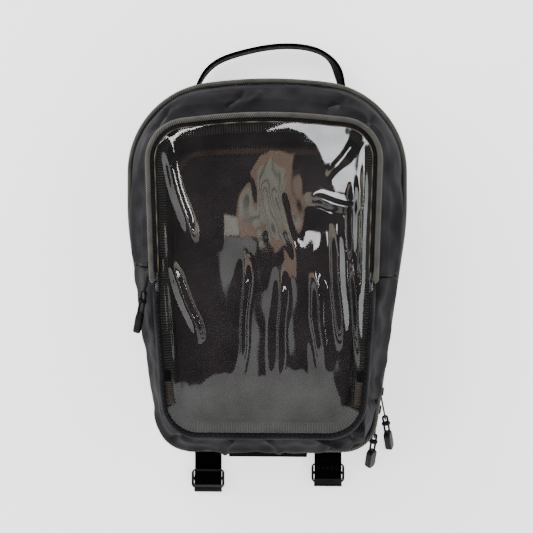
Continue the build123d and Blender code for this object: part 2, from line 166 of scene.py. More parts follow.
def coons(loop, across, along, corners):
    """A grid over a closed outline, between its four corner points given as shares of its length."""
    n = len(loop)
    ring = np.vstack([loop, loop])
    marks = [round(share * n) for share in corners]
    marks.append(marks[0] + n)
    sides = [ring[a:b + 1] for a, b in zip(marks, marks[1:])]
    right, top, left, bottom = [resample(s, c) for s, c in zip(sides, (along, across, along, across))]
    top, left = top[::-1], left[::-1]
    u = np.linspace(0, 1, across)[:, None, None]
    v = np.linspace(0, 1, along)[None, :, None]
    ruled = (1 - v) * bottom[:, None] + v * top[:, None] + (1 - u) * left[None] + u * right[None]
    corner = ((1 - u) * (1 - v) * bottom[0] + u * (1 - v) * bottom[-1]
              + (1 - u) * v * top[0] + u * v * top[-1])
    return ruled - corner


def smooth(value, start, end):
    """0 before start, 1 after end, and a smooth step between."""
    t = np.clip((np.asarray(value) - start) / (end - start), 0, 1)
    return t * t * (3 - 2 * t)


def ripple(points, scale, seed=0.0):
    """Smooth noise from -1 to 1 at each point, in features of about the given size."""
    return np.array([noise.noise(Vector(p) / scale + Vector((seed, seed * 0.7, 0))) for p in points])


def soft_fold(flat, start, end, width, height):
    """A long soft crease between two points: it fades at its ends and across its width."""
    start, end = np.array(start) * MM, np.array(end) * MM
    along = end - start
    length = np.linalg.norm(along)
    way = along / length
    rel = flat - start
    t = rel @ way / length
    bend = 0.12 * width * MM * np.sin(t * 3 * pi)
    away = rel @ np.array([-way[1], way[0]]) - bend
    fade = smooth(t, -0.15, 0.25) * (1 - smooth(t, 0.75, 1.15))
    return height * MM * fade * np.exp(-((away / (width * MM)) ** 2))


# Meshes ------------------------------


def piece(name, vertices, faces, material, uvs=None):
    """A mesh object. uvs holds one pair for each face corner, in metres."""
    mesh = bpy.data.meshes.new(name)
    mesh.from_pydata([tuple(v) for v in vertices], [], faces)
    if uvs is not None:
        mesh.uv_layers.new(name="UVMap").data.foreach_set("uv", np.asarray(uvs, np.float32).ravel())
    mesh.polygons.foreach_set("use_smooth", [True] * len(mesh.polygons))
    mesh.materials.append(material)
    made = bpy.data.objects.new(name, mesh)
    bpy.context.scene.collection.objects.link(made)
    return made


def grid_piece(name, grid, material, wrap_u=False, wrap_v=False, caps=False):
    """A piece from a grid of points, n along and m across, with UVs in metres."""
    n, m = grid.shape[:2]
    index = np.arange(n * m).reshape(n, m)
    i, j = np.meshgrid(np.arange(n - (not wrap_u)), np.arange(m - (not wrap_v)), indexing="ij")
    i, j = i.ravel(), j.ravel()
    i2, j2 = i + 1, j + 1
    faces = np.column_stack([index[i, j], index[i2 % n, j], index[i2 % n, j2 % m], index[i, j2 % m]])
    u_steps = np.linalg.norm(np.roll(grid, -1, 0) - grid, axis=2).mean(1)
    v_steps = np.linalg.norm(np.roll(grid, -1, 1) - grid, axis=2).mean(0)
    u_at, v_at = np.r_[0, np.cumsum(u_steps)], np.r_[0, np.cumsum(v_steps)]
    corners = [(i, j), (i2, j), (i2, j2), (i, j2)]
    uvs = np.stack([np.column_stack([u_at[a], v_at[b]]) for a, b in corners], axis=1)
    faces = [tuple(int(v) for v in face) for face in faces]
    if caps:
        faces += [tuple(int(v) for v in index[0][::-1]), tuple(int(v) for v in index[-1])]
        uvs = np.vstack([uvs.reshape(-1, 2), np.zeros((2 * m, 2))])
    return piece(name, grid.reshape(-1, 3), faces, material, uvs)


def frames(path, up=UP, closed=False, across=None):
    """For each point of a path, its sideways and upward directions. across fixes the sideways one."""
    along = direction(path, closed)
    along /= lengths(along)
    side = np.cross(along, up) if across is None else np.tile(np.asarray(across, float), (len(path), 1))
    side /= lengths(side)
    return side, np.cross(side, along)


def swept(name, path, profile, material, up=UP, closed=False, across=None, twist=None):
    """A piece made by carrying a closed profile of (sideways, upward) points along a path.

    twist turns the profile about the path, by an angle for each of its points.
    """
    side, rise = frames(path, up, closed, across)
    if twist is not None:
        turn_cos, turn_sin = np.cos(twist)[:, None], np.sin(twist)[:, None]
        side, rise = turn_cos * side + turn_sin * rise, turn_cos * rise - turn_sin * side
    profile = np.broadcast_to(np.asarray(profile, float), (len(path), *np.shape(profile)[-2:]))
    grid = path[:, None] + profile[:, :, :1] * side[:, None] + profile[:, :, 1:] * rise[:, None]
    return grid_piece(name, grid, material, wrap_u=closed, wrap_v=True, caps=not closed)


def circle(radius, sides=14):
    """A round profile."""
    return [(radius * cos(a), radius * sin(a)) for a in np.linspace(0, 2 * pi, sides, endpoint=False)]


def slab(width, thick, edge=None, across=9):
    """A flat profile with rounded edges: width sideways and thick upward."""
    edge = edge or thick / 2
    turn = np.linspace(-pi / 2, pi / 2, 5)
    right = [(width / 2 - edge + edge * cos(a), (thick / 2) * sin(a)) for a in turn]
    top = [(x, thick / 2) for x in np.linspace(width / 2 - edge, edge - width / 2, across)[1:-1]]
    left = [(-x, -y) for x, y in right]
    bottom = [(-x, -y) for x, y in top]
    return right + top + left + bottom


def level_run(name, line, away, z, profile, material, closed=False):
    """A piece carried level along a line that is moved outward by away."""
    return swept(name, at_height(offset(line, away, closed), z), profile, material, closed=closed)


def wall(name, loop, z_low, z_high, thick, material, closed=True):
    """An upright fabric wall inside an outline, with rolled edges."""
    profile = [(-y, x) for x, y in slab(z_high - z_low, thick)]
    return level_run(name, loop, -thick / 2, (z_low + z_high) / 2, profile, material, closed)


def quads(index):
    """The faces of a grid of vertex numbers."""
    corners = [index[:-1, :-1], index[1:, :-1], index[1:, 1:], index[:-1, 1:]]
    return [tuple(face) for face in np.stack(corners, -1).reshape(-1, 4).tolist()]


def border(index):
    """The vertex numbers round a grid, from its first corner."""
    return np.r_[index[:, 0], index[-1, 1:], index[:-1, -1][::-1], index[0, 1:-1][::-1]]


def plate(name, grid, z_low, z_high, material, relief=None):
    """A sheet over a flat grid, drawn in a little. relief gives each point's extra height on top."""
    flat = grid.reshape(-1, 2)
    middle = flat.mean(0)
    rise = np.zeros(len(flat)) if relief is None else relief(flat)
    inset = middle + (flat - middle) * (1 - 0.4 * MM / lengths(flat - middle).max())
    count = len(flat)
    index = np.arange(count).reshape(grid.shape[:2])
    edge = border(index)
    faces = quads(index)
    faces += [tuple(count + v for v in face[::-1]) for face in faces]
    faces += [(a, count + a, count + b, b) for a, b in zip(edge.tolist(), np.roll(edge, -1).tolist())]
    vertices = np.vstack([np.column_stack([inset, z_high + rise]), at_height(inset, z_low)])
    corner = np.concatenate(faces)
    return piece(name, vertices, faces, material, vertices[corner][:, :2])


def many(name, parts, material, sides=6, radius=0.3 * MM):
    """One piece from many short rounded rods, each a line of points: stitches or zip teeth."""
    turns = np.linspace(0, 2 * pi, sides, endpoint=False)[:, None]
    vertices, faces, count = [], [], 0
    for path in parts:
        along = path[-1] - path[0]
        helper = UP if abs(along[2]) < 0.9 * np.linalg.norm(along) else np.array([1.0, 0, 0])
        side, rise = frames(path, helper)
        sizes = radius * np.sin(np.linspace(0.25, pi - 0.25, len(path)))[:, None, None] ** 0.5
        round_path = np.cos(turns) * side[:, None] + np.sin(turns) * rise[:, None]
        vertices.append(path[:, None] + sizes * round_path)
        index = count + np.arange(len(path) * sides).reshape(len(path), sides)
        count += index.size
        faces += quads(np.column_stack([index, index[:, 0]]).T)
        faces += [tuple(index[0, ::-1].tolist()), tuple(index[-1].tolist())]
    return piece(name, np.concatenate(vertices).reshape(-1, 3), faces, material)


STITCH_LENGTH = 3.0 * MM
STITCH_GAP = 1.1 * MM
STITCH_R = 0.42 * MM


def stitch_runs(line, out=UP, radius=STITCH_R):
    """The stitches along a line. Each rises out of the cloth, towards out, and dives back in."""
    total = lengths(np.diff(line, axis=0)).sum()
    count = max(2, int(total / (STITCH_LENGTH + STITCH_GAP)))
    parts = 12
    fine = resample(line, count * parts + 1)
    outward = resample(np.broadcast_to(out, line.shape), count * parts + 1)
    dive = radius * np.array([1.0, 0.25, 0, 0.25, 1.0])[:, None]
    runs = []
    for k in range(count):
        there = slice(k * parts, k * parts + 10)
        runs.append(resample(fine[there], 5) - dive * outward[there].mean(0))
    return runs


def stitched(name, body, lines, out=UP, radius=STITCH_R):
    """Rows of thread stitches along lines, riding on a body. out is one direction, or a list of them."""
    outs = out if isinstance(out, list) else [out] * len(lines)
    runs = [run for line, way in zip(lines, outs) for run in stitch_runs(line, way, radius)]
    return dress(many(name, runs, THREAD, radius=radius), body, "shell_fabric")


def stitch_rows(name, body, line, places, closed=False, radius=STITCH_R):
    """Level rows of stitches, each moved out from a line by a distance and lifted to a height."""
    stitched(name, body, [at_height(offset(line, away, closed), z) for away, z in places], radius=radius)


def outward(line, closed=True):
    """The level direction out of the bag at each point of a wall's line."""
    return at_height(offset(line[:, :2], 1.0, closed) - line[:, :2], 0)


def box_stitch(middle, right, up, width, height):
    """The lines of a stitched box with a cross in it, on a plane through its middle."""
    middle, right, up = (np.asarray(v, float) for v in (middle, right, up))
    signs = [(-1, -1), (1, -1), (1, 1), (-1, 1)]
    corners = [middle + right * width * a / 2 + up * height * b / 2 for a, b in signs]
    pairs = [(0, 1), (1, 2), (2, 3), (3, 0), (0, 2), (1, 3)]
    return [np.array([corners[a], corners[b]]) for a, b in pairs]


def dress(made, body, slot, *nodes):
    """Puts a piece on its CAD body and hides the nodes it stands for. slot is not used."""
    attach(made, body)
    if nodes:
        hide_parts(*nodes)
    return made


# Materials ------------------------------

# The width of one band of Blender's wave texture at a scale of 1.
WAVE_PERIOD = 2 * pi / 20


def add(tree, kind, inputs, **settings):
    """A shader node with its settings and its inputs, which are values or other nodes' sockets."""
    made = tree.nodes.new("ShaderNode" + kind)
    for key, value in settings.items():
        setattr(made, key, value)
    for key, value in inputs.items():
        if isinstance(value, bpy.types.NodeSocket):
            tree.links.new(value, made.inputs[key])
        else:
            made.inputs[key].default_value = value
    return made


def start_material(name, **values):
    """A new material, its Principled shader with plain values on its sockets, and its coordinates."""
    made = bpy.data.materials.new(name)
    made.use_nodes = True
    shader = made.node_tree.nodes["Principled BSDF"]
    for key, value in values.items():
        shader.inputs[key.replace("_", " ")].default_value = value
    return made, shader, add(made.node_tree, "TexCoord", {}).outputs


def waves(where, pitch, angle, distortion=0.0):
    """Threads: bands of the given pitch, turned by angle in degrees."""
    turned = add(where.id_data, "Mapping", {"Vector": where, "Rotation": (0, 0, radians(angle))})
    inputs = {"Vector": turned.outputs[0], "Scale": WAVE_PERIOD / pitch, "Distortion": distortion,
              "Detail": 1.0, "Detail Scale": 1.5}
    return add(where.id_data, "TexWave", inputs, bands_direction="X").outputs["Fac"]


def blotches(where, size, detail=3.0):
    """Soft noise with features of the given size."""
    inputs = {"Vector": where, "Scale": 1 / size, "Detail": detail}
    return add(where.id_data, "TexNoise", inputs).outputs["Fac"]


def between(factor, first, second):
    """A colour between two colours, or a colour and another node's socket, by a factor."""
    second = second if isinstance(second, bpy.types.NodeSocket) else (*second, 1)
    return add(factor.id_data, "Mix", {0: factor, 6: (*first, 1), 7: second}, data_type="RGBA").outputs[2]


def times(first, second):
    """A socket's value times a value or another socket's."""
    return add(first.id_data, "Math", {0: first, 1: second}, operation="MULTIPLY").outputs[0]


def plus(first, second):
    """A socket's value plus a value or another socket's."""
    return add(first.id_data, "Math", {0: first, 1: second}, operation="ADD").outputs[0]


def spread(value, lowest, highest, start=0.0, end=1.0):
    """A value moved to run from lowest to highest as it goes from start to end."""
    return add(value.id_data, "MapRange", {"Value": value, "From Min": start, "From Max": end,
                                           "To Min": lowest, "To Max": highest}).outputs[0]


def surface(shader, colour, roughness, relief, strength, depth):
    """Gives a shader its colour, its roughness and a bump of the given depth."""
    tree = shader.id_data
    bump = add(tree, "Bump", {"Height": relief, "Strength": strength, "Distance": depth}).outputs[0]
    for key, value in (("Base Color", colour), ("Roughness", roughness), ("Normal", bump)):
        tree.links.new(value, shader.inputs[key])


def cloth(name, dark, light, pitch, angles, depth=0.12 * MM, rough=0.75, sheen=0.35, tint=(1, 1, 1)):
    """Woven fabric: crossing threads, patchy wear in colour and roughness, and a soft sheen. The colour
    follows the threads' bump: their pattern, with painted shade in the grooves between them.
    """
    made, shader, where = start_material(name, Sheen_Weight=sheen, Sheen_Roughness=0.45,
                                         Sheen_Tint=(*tint, 1), Specular_IOR_Level=0.1)
    threads = waves(where["UV"], pitch, angles[0], 0.6)
    crossing = waves(where["UV"], pitch * 0.62, angles[1], 0.4)
    weave = times(threads, plus(times(crossing, 0.4), 0.6))
    worn = blotches(where["Object"], 30 * MM)
    fibres = blotches(where["Object"], 0.9 * MM, 2.0)
    # Colour follows the weave's bump: the threads' pattern, with painted shade in the grooves.
    shade = times(plus(times(weave, 0.8), times(fibres, 0.2)), spread(worn, 0.55, 1.35, 0.3, 0.7))
    surface(shader, between(shade, dark, light), spread(worn, rough + 0.1, rough - 0.12, 0.3, 0.7),
            plus(weave, times(fibres, 0.4)), 0.9, depth)
    return made


def ribbed(name, dark, light, pitch, angle, depth=0.3 * MM, rough=0.6, gloss=0.14):
    """Binding, grosgrain or braid: strong ribs in one direction over a finer weave, coloured by their bump:
    the ribs' pattern, with painted shade in the grooves between them.
    """
    made, shader, where = start_material(name, Sheen_Weight=gloss / 5, Sheen_Roughness=0.4,
                                         Specular_IOR_Level=gloss)
    ribs = waves(where["UV"], pitch, angle, 0.35)
    fine = waves(where["UV"], pitch * 0.4, angle + 90, 0.3)
    patchy = blotches(where["Object"], 12 * MM)
    relief = plus(ribs, times(fine, 0.25))
    # Colour follows the ribs' bump: their pattern, with painted shade in the grooves.
    shade = times(times(relief, 0.8), spread(patchy, 0.7, 1.25, 0.3, 0.7))
    surface(shader, between(shade, dark, light), spread(patchy, rough + 0.08, rough - 0.08), relief,
            1.0, depth)
    return made


def moulded(name, dark, light, rough, grain, depth, metallic=0.0, coat=0.0):
    """Plastic, rubber or painted metal: a fine grain, scuffs and uneven gloss."""
    made, shader, where = start_material(name, Metallic=metallic, Coat_Weight=coat, Coat_Roughness=0.25,
                                         Specular_IOR_Level=0.3)
    scuffs = blotches(where["Object"], 6 * MM, 5.0)
    surface(shader, between(spread(scuffs, 0.0, 1.0, 0.35, 0.75), dark, light),
            spread(scuffs, rough - 0.1, rough + 0.14, 0.3, 0.7), blotches(where["Object"], grain, 2.0),
            0.7, depth)
    return made


def clear_film():
    """Clear flexible film: see-through, with a glossy face that is a little scuffed and rippled."""
    made, shader, where = start_material("clear_film", IOR=1.5, Metallic=1.0)
    haze = blotches(where["Object"], 24 * MM, 2.0)
    surface(shader, between(haze, (0.80, 0.80, 0.78), (1.0, 1.0, 1.0)), spread(haze, 0.01, 0.035, 0.3, 0.7),
            blotches(where["Object"], 14 * MM, 0.0), 0.4, 0.02 * MM)
    tree = made.node_tree
    clear = add(tree, "BsdfTransparent", {"Color": (0.86, 0.85, 0.83, 1)})
    share = spread(haze, 0.10, 0.13, 0.3, 0.7)
    mixed = add(tree, "MixShader", {0: share, 1: clear.outputs[0], 2: shader.outputs[0]})
    tree.links.new(mixed.outputs[0], tree.nodes["Material Output"].inputs["Surface"])
    return made


TWILL = cloth("shell_twill", (0.0001, 0.0001, 0.0002), (0.0175, 0.0160, 0.0185), 1.7 * MM, (52, -38),
              depth=0.34 * MM, sheen=0.02, tint=(0.93, 0.88, 1.0))
LINING = cloth("lining_weave", (0.008, 0.008, 0.009), (0.022, 0.022, 0.024), 1.4 * MM, (0, 90), rough=0.8,
               sheen=0.1)
PANEL = cloth("panel_mesh", (0.0015, 0.0010, 0.0014), (0.0440, 0.0355, 0.0405), 1.5 * MM, (45, -45),
              depth=0.25 * MM, sheen=0.03, tint=(1, 0.7, 0.74))
WEBBING = ribbed("webbing_weave", (0.0001, 0.0001, 0.0001), (0.0018, 0.0017, 0.0016), 1.8 * MM, 0, gloss=0.02)
PIPING = ribbed("piping_bias", (0.0100, 0.0094, 0.0084), (0.1250, 0.1180, 0.1040), 1.6 * MM, 35,
                depth=0.34 * MM)
PAD_BAND = cloth("pad_band", (0.003, 0.0022, 0.002), (0.078, 0.056, 0.050), 1.4 * MM, (0, 90), sheen=0.03)
GROSGRAIN = ribbed("grosgrain_ribs", (0.001, 0.001, 0.001), (0.062, 0.062, 0.058), 2.2 * MM, 0)
SLEEVE = ribbed("sleeve_weave", (0.010, 0.008, 0.0066), (0.085, 0.070, 0.056), 1.6 * MM, 0)
# The film's welded edge: its own brownish tone, made lighter as a painted highlight, with brighter stretches
# along it.
FILM_EDGE_TONE_AND_HIGHLIGHT = ribbed("film_edge", (0.03, 0.025, 0.019), (0.15, 0.12, 0.09), 17 * MM, 20, depth=0.1 * MM,
                   rough=0.4)
BRAID = ribbed("cord_braid", (0.002, 0.002, 0.0022), (0.014, 0.014, 0.015), 1.3 * MM, 35)
TAPE = cloth("zip_tape_weave", (0.002, 0.002, 0.0022), (0.009, 0.009, 0.010), 1.0 * MM, (0, 90), sheen=0.05)
THREAD = moulded("sewing_thread", (0.0012, 0.0012, 0.0013), (0.006, 0.0058, 0.006), 0.6, 0.5 * MM, 0.1 * MM)
COIL = moulded("zip_coil_nylon", (0.004, 0.004, 0.0043), (0.012, 0.012, 0.013), 0.4, 1.5 * MM, 0.05 * MM)
PLASTIC = moulded("buckle_acetal", (0.0025, 0.0025, 0.0028), (0.010, 0.010, 0.011), 0.4, 0.8 * MM, 0.04 * MM)
METAL = moulded("slider_enamel", (0.004, 0.004, 0.0045), (0.018, 0.018, 0.019), 0.28, 2.0 * MM, 0.05 * MM,
                metallic=0.4, coat=0.6)
RUBBER = moulded("toggle_rubber", (0.004, 0.004, 0.0042), (0.014, 0.014, 0.015), 0.55, 0.7 * MM, 0.08 * MM)
GRIP = moulded("grip_sheet", (0.004, 0.004, 0.0043), (0.012, 0.012, 0.0125), 0.8, 3.0 * MM, 0.6 * MM)
BOARD = moulded("stiffener_sheet", (0.008, 0.008, 0.008), (0.022, 0.022, 0.022), 0.6, 2.0 * MM, 0.05 * MM)
FOAM = moulded("foam_cells", (0.010, 0.010, 0.010), (0.026, 0.026, 0.027), 0.9, 0.8 * MM, 0.3 * MM)
FILM = clear_film()


def finish_cad(material, *nodes):
    """Gives CAD nodes that stay in sight their material and slightly rounded edges."""
    for name in nodes:
        NODES[name].data.materials.clear()
        NODES[name].data.materials.append(material)
        edges = NODES[name].modifiers.new("Edges", "BEVEL")
        edges.width = 0.2 * MM
        edges.segments = 2
        edges.limit_method = "ANGLE"


# Heights and outlines ------------------------------

gusset_bottom = low("gusset_upper")[2]
crease_z = high("gusset_upper")[2]
piping_z = middle_z("outer_piping")
piping_r = (high("outer_piping")[2] - low("outer_piping")[2]) / 2
deck_top = high("pocket_back_panel")[2]
film_z = low("window_film_upper")[2]
film_top = high("window_film_upper")[2]
fold_y = high("window_film_lower")[1]
pocket_piping_z = middle_z("pocket_piping")
pocket_piping_r = (high("pocket_piping")[2] - low("pocket_piping")[2]) / 2
seam_left, seam_right = high("gusset_lower")[1], low("gusset_upper")[1]
half_width = high("gusset_upper")[0]

body_loop = section(["lid_rim"], middle_z("lid_rim"), 480)
window_loop = section(["window_film_lower", "window_film_upper"], (film_z + film_top) / 2, 480)
pad_loop = section(["panel_pad"], middle_z("panel_pad"), 360)
cover_line = arc_beyond(window_loop, lambda x, y: y > fold_y, 260)


def above_seam(x, y):
    """True on the upper panel's side of the line that joins the two side seams."""
    return y > seam_left + (seam_right - seam_left) * (x + half_width) / (2 * half_width)


# Front gusset ------------------------------


def puffed(sheet, held):
    """Blows up a sheet of cloth a little, held at some vertices, and returns its new points."""
    group = sheet.vertex_groups.new(name="held")
    group.add(held.tolist(), 1.0, "REPLACE")
    modifier = sheet.modifiers.new("Cloth", "CLOTH")
    settings = {"vertex_group_mass": "held", "quality": 6, "mass": 0.25, "tension_stiffness": 20,
                "compression_stiffness": 8, "bending_stiffness": 5, "use_pressure": True,
                "uniform_pressure_force": 2.2, "shrink_min": -0.012}
    for key, value in settings.items():
        setattr(modifier.settings, key, value)
    modifier.settings.effector_weights.gravity = 0
    modifier.collision_settings.use_collision = False
    scene = bpy.context.scene
    for step in range(1, PUFF_STEPS + 1):
        scene.frame_set(step)
    shape = sheet.evaluated_get(bpy.context.evaluated_depsgraph_get())
    points = np.array([v.co for v in shape.data.vertices])
    scene.frame_set(1)
    sheet.modifiers.remove(modifier)
    return points


WALL_THICK = 2.2 * MM
PUFF_STEPS = 20
PUFF_LIMIT = 1.8 * MM
GUSSET_HEIGHTS = np.linspace(gusset_bottom + 0.2 * MM, crease_z - 0.2 * MM, 36)

# How far the panels stand out along their middle, and hang out over the piping near the strap end.
RIDGE = 0.4 * MM
BELLY = 4.8 * MM

# Tucks in the gusset: place, reach along and across the panel, and depth, in mm.
TUCKS = [
    ((-26, 145), 16, 6, 2.0),
    ((-90, 126), 8, 8, 2.2),
    ((64, 137), 14, 6, 2.0),
    ((90, 120), 7, 8, 2.0),
    ((104, 90), 6, 20, 1.6),
    ((-108, 60), 6, 22, 1.6),
    ((102, -40), 5, 8, 1.8),
    ((93, -98), 5, 7, 2.0),
    ((-86, -118), 5, 10, 2.4),
]

# Folds where the piping pulls the panels or they turn a corner: start, end, half width, height, in mm.
GUSSET_FOLDS = [
    ((-32, 133), (-18, 149), 2.6, -2.8),
    ((-20, 134), (-2, 147), 3.2, 1.6),
    ((-98, 112), (-82, 136), 2.6, -2.8),
    ((54, 130), (70, 146), 2.6, -2.6),
    ((82, 112), (95, 128), 2.6, -2.4),
    ((40, -144), (74, -157), 2.4, 4.4),
    ((46, -151), (70, -162), 2.4, -4.0),
    ((68, -130), (79, -154), 2.2, -6.0),
    ((83, -102), (80, -156), 2.6, 5.0),
    ((84, -112), (98, -119), 2.4, -4.6),
    ((-24, -144), (-38, -159), 2.0, 3.4),
    ((2, -147), (14, -159), 2.0, 2.6),
    ((-58, -142), (-82, -149), 2.4, -4.0),
    ((-84, -102), (-92, -130), 2.6, 1.2),
]


def gusset_rows(keep, count):
    """The gusset's surface on one side of its seams: a grid of points, along it and up it."""
    surface = ["gusset_upper", "gusset_lower"]
    return np.stack([at_height(arc_beyond(section(surface, z), keep, count), z) for z in GUSSET_HEIGHTS], 1)


def tuck_depth(points):
    """How far the stitched and stuffed cloth is drawn in at each point."""
    depth = np.zeros(len(points))
    for (x, y), wide, tall, deep in TUCKS:
        away = (points[:, 0] / MM - x) ** 2 / wide ** 2 + (points[:, 1] / MM - y) ** 2 / tall ** 2
        depth += deep * MM * np.exp(-away)
    return depth


def edge_fade(grid, margins):
    """0 along a grid's border and 1 beyond the margins, given in rows and columns."""
    n, m = grid.shape[:2]
    rows = np.minimum(np.arange(n), np.arange(n)[::-1])[:, None] / margins[0]
    columns = np.minimum(np.arange(m), np.arange(m)[::-1])[None] / margins[1]
    return np.clip(np.minimum(rows, columns), 0, 1).ravel()


def ironed(grid, times):
    """A grid of values with its small wrinkles evened out."""
    for _ in range(times):
        grid[1:-1] = (grid[:-2] + 2 * grid[1:-1] + grid[2:]) / 4
        grid[:, 1:-1] = (grid[:, :-2] + 2 * grid[:, 1:-1] + grid[:, 2:]) / 4
    return grid


def gusset_panel(name, grid, seed):
    """One panel of the front gusset: filled cloth between the outer piping, the window and its seams."""
    made = grid_piece(name, grid, TWILL)
    rest = grid.reshape(-1, 3)
    normals = np.array([v.normal for v in made.data.vertices])
    start = rest
    held = border(np.arange(len(rest)).reshape(grid.shape[:2]))
    moved = ironed((puffed(made, held) - rest).reshape(grid.shape), 5).reshape(-1, 3)
    start = rest + moved * np.minimum(1, PUFF_LIMIT / np.maximum(lengths(moved), 1e-9))
    share = smooth(rest[:, 2], gusset_bottom, crease_z)
    ridge = RIDGE * np.exp(-(((share - 0.45) / 0.2) ** 2))
    creases = 0.8 * MM * ripple(rest, 34 * MM, seed) + 0.3 * MM * ripple(rest, 12 * MM, seed + 5)
    folds = sum(soft_fold(rest[:, :2], *fold) for fold in GUSSET_FOLDS)
    relief = (ridge + creases + folds - tuck_depth(rest)) * edge_fade(grid, (8, 4))
    hangs = BELLY * (1 - smooth(rest[:, 1], -30 * MM, 135 * MM))
    from_pulls = np.linalg.norm(rest[:, :2] - low("main_end_pull_tab")[:2], axis=1)
    hangs *= smooth(from_pulls, 12 * MM, 50 * MM)
    belly = hangs * np.exp(-(((share - 0.2) / 0.24) ** 2)) * edge_fade(grid, (1, 3))
    out = np.stack([outward(column, False) for column in grid.swapaxes(0, 1)], axis=1).reshape(-1, 3)
    made.data.vertices.foreach_set("co", (start + normals * relief[:, None] + out * belly[:, None]).ravel())
    thick = made.modifiers.new("Thickness", "SOLIDIFY")
    thick.thickness = WALL_THICK
    thick.offset = -1
    thick.use_rim = False
    finer = made.modifiers.new("Finer", "SUBSURF")
    finer.levels = finer.render_levels = 1
    return made


GUSSET_POINTS = 260
upper_grid = gusset_rows(above_seam, GUSSET_POINTS)
lower_grid = gusset_rows(lambda x, y: not above_seam(x, y), GUSSET_POINTS)
for name, grid, node, seed in (("front_gusset_upper", upper_grid, "gusset_upper", 3.1),
                               ("front_gusset_lower", lower_grid, "gusset_lower", 7.7)):
    panel = gusset_panel(name, grid, seed)
    dress(panel, "lid", "shell_fabric", node)


def side_seam(name, edge):
    """A folded seam down the side of the gusset, where its two panels meet, with a black cord beside it as
    painted shade in the fold, and a row of stitches.
    """
    dress(swept(f"{name}_welt", edge, circle(1.4 * MM, 10), TWILL), "lid", "shell_fabric")
    # A thin black cord beside the welt: painted shade in the seam's fold.
    painted_shade_cord = edge - [0, 2.0 * MM, 0]
    dress(swept(f"{name}_groove", painted_shade_cord, circle(0.9 * MM, 8), WEBBING), "lid", "shell_fabric")
    beside = edge - [0, 4.2 * MM, 0]
    way = np.column_stack([edge[:, 0], np.zeros(len(edge)), np.abs(edge[:, 0])])
    way /= lengths(way)
    stitched(f"{name}_stitches", "lid", [beside + 0.3 * MM * way], [way])


side_seam("right_side_seam", upper_grid[0, 1:-1])
side_seam("left_side_seam", upper_grid[-1, 1:-1])

# Piping and walls of the body ------------------------------

outer_cord = level_run("outer_piping_cord", body_loop, piping_r, piping_z, circle(piping_r), PIPING, True)
dress(outer_cord, "lid", "piping", "outer_piping")

# How far the walls reach into the seams above and below them.
LAP = 0.6 * MM
rim_low, rim_high = low("lid_rim")[2], high("lid_rim")[2]
base_low, base_high = low("base_gusset")[2], high("base_gusset")[2]
rim = wall("rim_wall", body_loop, rim_low, rim_high + LAP, WALL_THICK, TWILL)
dress(rim, "lid", "shell_fabric", "lid_rim")
base_wall = wall("base_wall", body_loop, base_low - LAP, base_high, WALL_THICK, TWILL)
dress(base_wall, "base", "shell_fabric", "base_gusset")

zip_edge = 1.4 * MM
for name, body, z in (("rim_stitches", "lid", rim_low + zip_edge),
                      ("base_wall_stitches", "base", base_high - zip_edge)):
    line = at_height(offset(body_loop, 0.1 * MM), z)
    stitched(name, body, [line], [outward(line)])

# Base ------------------------------

SHEET_CORNERS = (0.12, 0.38, 0.62, 0.88)


def flat_sheet(name, node, body, slot, material, relief=None):
    """A flat sheet over a CAD node's outline."""
    grid = coons(section([node], middle_z(node), 360), 50, 76, SHEET_CORNERS)
    made = plate(name, grid, low(node)[2], high(node)[2], material, relief)
    return dress(made, body, slot, node)


def slack(flat):
    """The slight unevenness of cloth glued to foam."""
    return 0.25 * MM * ripple(at_height(flat, 0), 26 * MM, 6.0) - 0.1 * MM


flat_sheet("grip_sheet", "base_grip_sheet", "base", "grip_rubber", GRIP)
flat_sheet("outer_skin", "base_skin", "base", "shell_fabric", TWILL)
foam = flat_sheet("base_foam_sheet", "base_foam", "base", "foam", FOAM)
flat_sheet("stiffener_sheet", "base_stiffener_board", "base", "board", BOARD)
flat_sheet("base_lining_cloth", "base_lining", "base", "lining_fabric", LINING, slack)


def hinge_cloth():
    """The strip of cloth inside the strap end that joins lid and base."""
    node = "hinge_strip"
    line = stretch([node], middle_z(node), 160)
    heights = np.linspace(low(node)[2] + 0.3 * MM, high(node)[2] - 0.3 * MM, 26)
    grid = np.stack([at_height(line, z) for z in heights], axis=1)
    made = grid_piece("hinge_cloth", grid, TWILL)
    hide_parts(node)
    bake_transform(made)


hinge_cloth()

flap_low, flap_high = low("base_flap"), high("base_flap")
flap_grid = np.stack(np.meshgrid(np.linspace(flap_low[0], flap_high[0], 40),
                                 np.linspace(flap_low[1], flap_high[1], 10), indexing="ij"), -1)
flap_share = (flap_high[1] - flap_grid[..., 1]) / np.ptp(flap_grid[..., 1])
flap_grid[..., 0] *= 1 - 0.06 * flap_share
flap = plate("base_flap_cloth", flap_grid, flap_low[2], flap_high[2], TWILL, slack)
dress(flap, "base", "shell_fabric", "base_flap")
hem_y, hem_z = flap_low[1] + 2.5 * MM, flap_high[2] + 0.2 * MM
flap_hem = np.array([[0.9 * x, hem_y, hem_z] for x in (flap_low[0], flap_high[0])])
stitched("base_flap_stitches", "base", [flap_hem])

# Zips ------------------------------

TOOTH_PITCH = 1.7 * MM
TOOTH_R = 0.62 * MM


